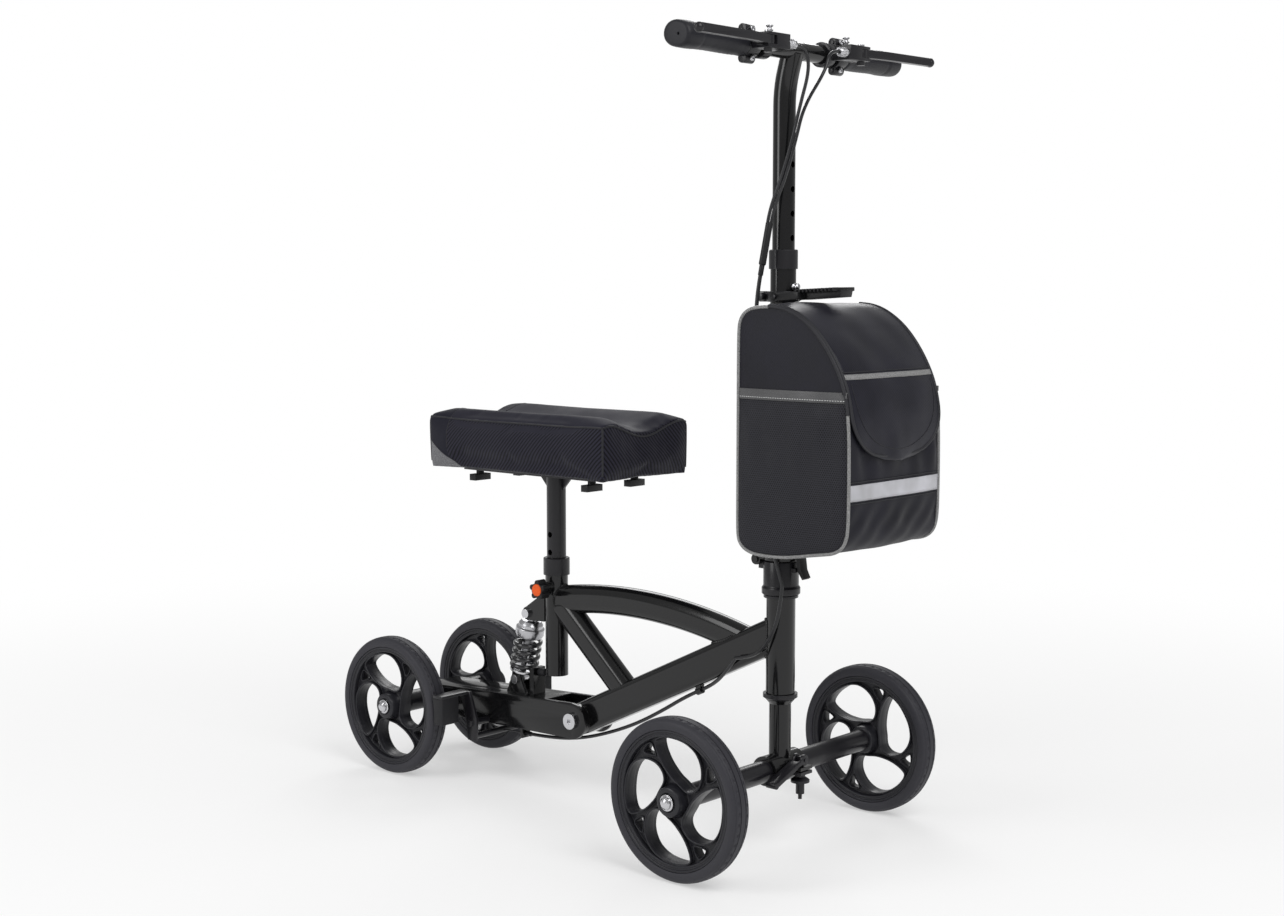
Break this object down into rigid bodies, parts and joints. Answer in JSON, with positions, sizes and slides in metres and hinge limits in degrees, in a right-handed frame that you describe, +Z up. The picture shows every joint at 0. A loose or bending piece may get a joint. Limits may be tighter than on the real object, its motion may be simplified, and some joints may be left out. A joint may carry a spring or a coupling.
{
  "type": "knee scooter",
  "caption": "Folding knee scooter with four spoked wheels, a sprung rear arm, a hollowed knee pad on a height-adjusting post, hand brakes and a front bag.",
  "frame": {"origin": "on the floor, under the middle of the scooter's length and width", "axes": "+X forward, +Y to the rider's left, +Z up"},
  "size_m": [0.9036, 0.482, 1.0201],
  "materials": {
    "gloss_black": "gloss",
    "satin_black": "satin",
    "bright_steel": "polished",
    "cast_aluminium": "satin",
    "tyre_rubber": "matte",
    "rim_plastic": "gloss",
    "grip_rubber": "matte",
    "black_rubber": "matte",
    "black_plastic": "satin",
    "orange_plastic": "gloss",
    "pad_cloth": "woven",
    "bag_cloth": "woven",
    "cable_jacket": "satin",
    "spring_steel": "gloss"
  },
  "bodies": {
    "frame": {"head_tube": "gloss_black", "headset_cups": "satin_black", "lower_frame_tube": "gloss_black", "arched_top_tube": "gloss_black", "diagonal_strut": "gloss_black", "seat_tube": "gloss_black", "seat_tube_collar": "black_plastic", "frame_bolts": "satin_black", "brake_cable": "cable_jacket"},
    "steering": {"fork": "gloss_black", "fold_socket": "satin_black", "front_axle": "satin_black", "front_wheel_bolts": "bright_steel", "axle_clamp": "satin_black", "steering_cable": "cable_jacket"},
    "axle_lever": {"axle_lever": "satin_black"},
    "column": {"column_tube": "gloss_black", "column_collar": "black_plastic", "height_clamp": "satin_black", "bag_shell": "bag_cloth", "bag_straps": "bag_cloth", "cable_splitter": "satin_black", "column_cable": "cable_jacket"},
    "fold_lever": {"fold_lever": "satin_black"},
    "height_lever": {"height_lever": "black_plastic"},
    "height_pin": {"height_pin": "bright_steel"},
    "bag_flap": {"bag_flap": "bag_cloth"},
    "handlebar": {"stem": "gloss_black", "left_grip": "grip_rubber", "right_grip": "grip_rubber", "grip_clamps": "satin_black", "brake_perches": "satin_black", "lever_cables": "cable_jacket"},
    "left_lever": {"left_lever": "satin_black"},
    "right_lever": {"right_lever": "satin_black"},
    "left_park_pin": {"left_park_pin": "bright_steel"},
    "right_park_pin": {"right_park_pin": "bright_steel"},
    "seat": {"seat_post": "gloss_black", "pad_plate": "satin_black", "knee_pad": "pad_cloth", "pad_bolts": "satin_black"},
    "seat_knob": {"seat_knob": "black_plastic", "seat_knob_cap": "orange_plastic"},
    "arm": {"swingarm": "satin_black", "rear_axle": "satin_black", "arm_bolts": "bright_steel", "bump_stop": "black_rubber"},
    "shock_body": {"shock_body": "cast_aluminium", "shock_spring": "spring_steel"},
    "shock_shaft": {"shock_shaft": "bright_steel"},
    "brake": {"brake_bracket": "satin_black", "brake_shoes": "black_rubber"},
    "front_left_wheel": {"front_left_tyre": "tyre_rubber", "front_left_rim": "rim_plastic"},
    "front_right_wheel": {"front_right_tyre": "tyre_rubber", "front_right_rim": "rim_plastic"},
    "rear_left_wheel": {"rear_left_tyre": "tyre_rubber", "rear_left_rim": "rim_plastic"},
    "rear_right_wheel": {"rear_right_tyre": "tyre_rubber", "rear_right_rim": "rim_plastic"}
  },
  "joints": [
    {"name": "steer", "type": "hinge", "parent": "frame", "child": "steering", "pos_m": [0.28015, 0, 0.25], "axis": [0, 0, 1], "range_deg": [-40, 40], "deforming": ["steering_cable"]},
    {"name": "fold", "type": "hinge", "parent": "steering", "child": "column", "pos_m": [0.25115, 0, 0.366], "axis": [0, -1, 0], "range_deg": [0, 45], "deforming": ["column_cable"]},
    {"name": "bar_height", "type": "slide", "parent": "column", "child": "handlebar", "axis": [0, 0, 1], "range_m": [-0.12, 0.03], "deforming": ["lever_cables"]},
    {"name": "seat_height", "type": "slide", "parent": "frame", "child": "seat", "axis": [0, 0, 1], "range_m": [-0.075, 0.025]},
    {"name": "arm_pivot", "type": "hinge", "parent": "frame", "child": "arm", "pos_m": [-0.05785, 0, 0.11], "axis": [0, 1, 0], "range_deg": [0, 5], "stiffness_Nm_per_rad": 1500, "springref_deg": -1.07, "deforming": ["brake_cable"]},
    {"name": "shock_turn", "type": "hinge", "parent": "frame", "child": "shock_body", "pos_m": [-0.16085, 0, 0.246], "axis": [0, 1, 0], "range_deg": [-1.5, 0.5]},
    {"name": "shock_travel", "type": "slide", "parent": "shock_body", "child": "shock_shaft", "axis": [0.2285, 0, 0.9735], "range_m": [0, 0.013], "deforming": ["shock_spring"]},
    {"name": "brake_pivot", "type": "hinge", "parent": "arm", "child": "brake", "pos_m": [-0.22485, 0, 0.086], "axis": [0, -1, 0], "range_deg": [0, 1.8], "deforming": ["brake_cable"]},
    {"name": "left_lever_pull", "type": "hinge", "parent": "handlebar", "child": "left_lever", "pos_m": [0.32715, 0.095, 0.9985], "axis": [0, 0, 1], "range_deg": [0, 10], "stiffness_Nm_per_rad": 1, "springref_deg": -17.19},
    {"name": "left_park_press", "type": "slide", "parent": "handlebar", "child": "left_park_pin", "axis": [0, 0, -1], "range_m": [0, 0.0036], "stiffness_N_per_m": 300, "springref_m": -0.002},
    {"name": "right_lever_pull", "type": "hinge", "parent": "handlebar", "child": "right_lever", "pos_m": [0.32715, -0.095, 0.9985], "axis": [0, 0, -1], "range_deg": [0, 10], "stiffness_Nm_per_rad": 1, "springref_deg": -17.19},
    {"name": "right_park_press", "type": "slide", "parent": "handlebar", "child": "right_park_pin", "axis": [0, 0, -1], "range_m": [0, 0.0036], "stiffness_N_per_m": 300, "springref_m": -0.002},
    {"name": "height_pin_pull", "type": "slide", "parent": "column", "child": "height_pin", "axis": [1, 0, 0], "range_m": [0, 0.006], "stiffness_N_per_m": 500, "springref_m": -0.002},
    {"name": "height_lever_lift", "type": "hinge", "parent": "column", "child": "height_lever", "pos_m": [0.28515, 0, 0.697], "axis": [0, -1, 0], "range_deg": [0, 45]},
    {"name": "fold_lever_lift", "type": "hinge", "parent": "column", "child": "fold_lever", "pos_m": [0.30915, 0, 0.375], "axis": [0, -1, 0], "range_deg": [0, 60]},
    {"name": "flap_lift", "type": "hinge", "parent": "column", "child": "bag_flap", "pos_m": [0.38615, 0, 0.6656], "axis": [0, -1, 0], "range_deg": [0, 78]},
    {"name": "axle_lever_lift", "type": "hinge", "parent": "steering", "child": "axle_lever", "pos_m": [0.30815, 0.006, 0.113], "axis": [-1, 0, 0], "range_deg": [0, 150]},
    {"name": "seat_knob_turn", "type": "hinge", "parent": "frame", "child": "seat_knob", "pos_m": [-0.11385, -0.04, 0.288], "axis": [0, 1, 0], "continuous": true},
    {"name": "front_left_roll", "type": "hinge", "parent": "steering", "child": "front_left_wheel", "pos_m": [0.28015, 0.2, 0.1], "axis": [0, 1, 0], "continuous": true},
    {"name": "front_right_roll", "type": "hinge", "parent": "steering", "child": "front_right_wheel", "pos_m": [0.28015, -0.2, 0.1], "axis": [0, 1, 0], "continuous": true},
    {"name": "rear_left_roll", "type": "hinge", "parent": "arm", "child": "rear_left_wheel", "pos_m": [-0.35185, 0.095, 0.1], "axis": [0, 1, 0], "continuous": true},
    {"name": "rear_right_roll", "type": "hinge", "parent": "arm", "child": "rear_right_wheel", "pos_m": [-0.35185, -0.095, 0.1], "axis": [0, 1, 0], "continuous": true}
  ],
  "couplings": [
    {"joint": "shock_turn", "follows": "arm_pivot", "ratio": -0.15599},
    {"joint": "shock_travel", "follows": "arm_pivot", "m_per_rad": 0.13073},
    {"joint": "brake_pivot", "follows": "left_lever_pull", "ratio": 0.18}
  ]
}
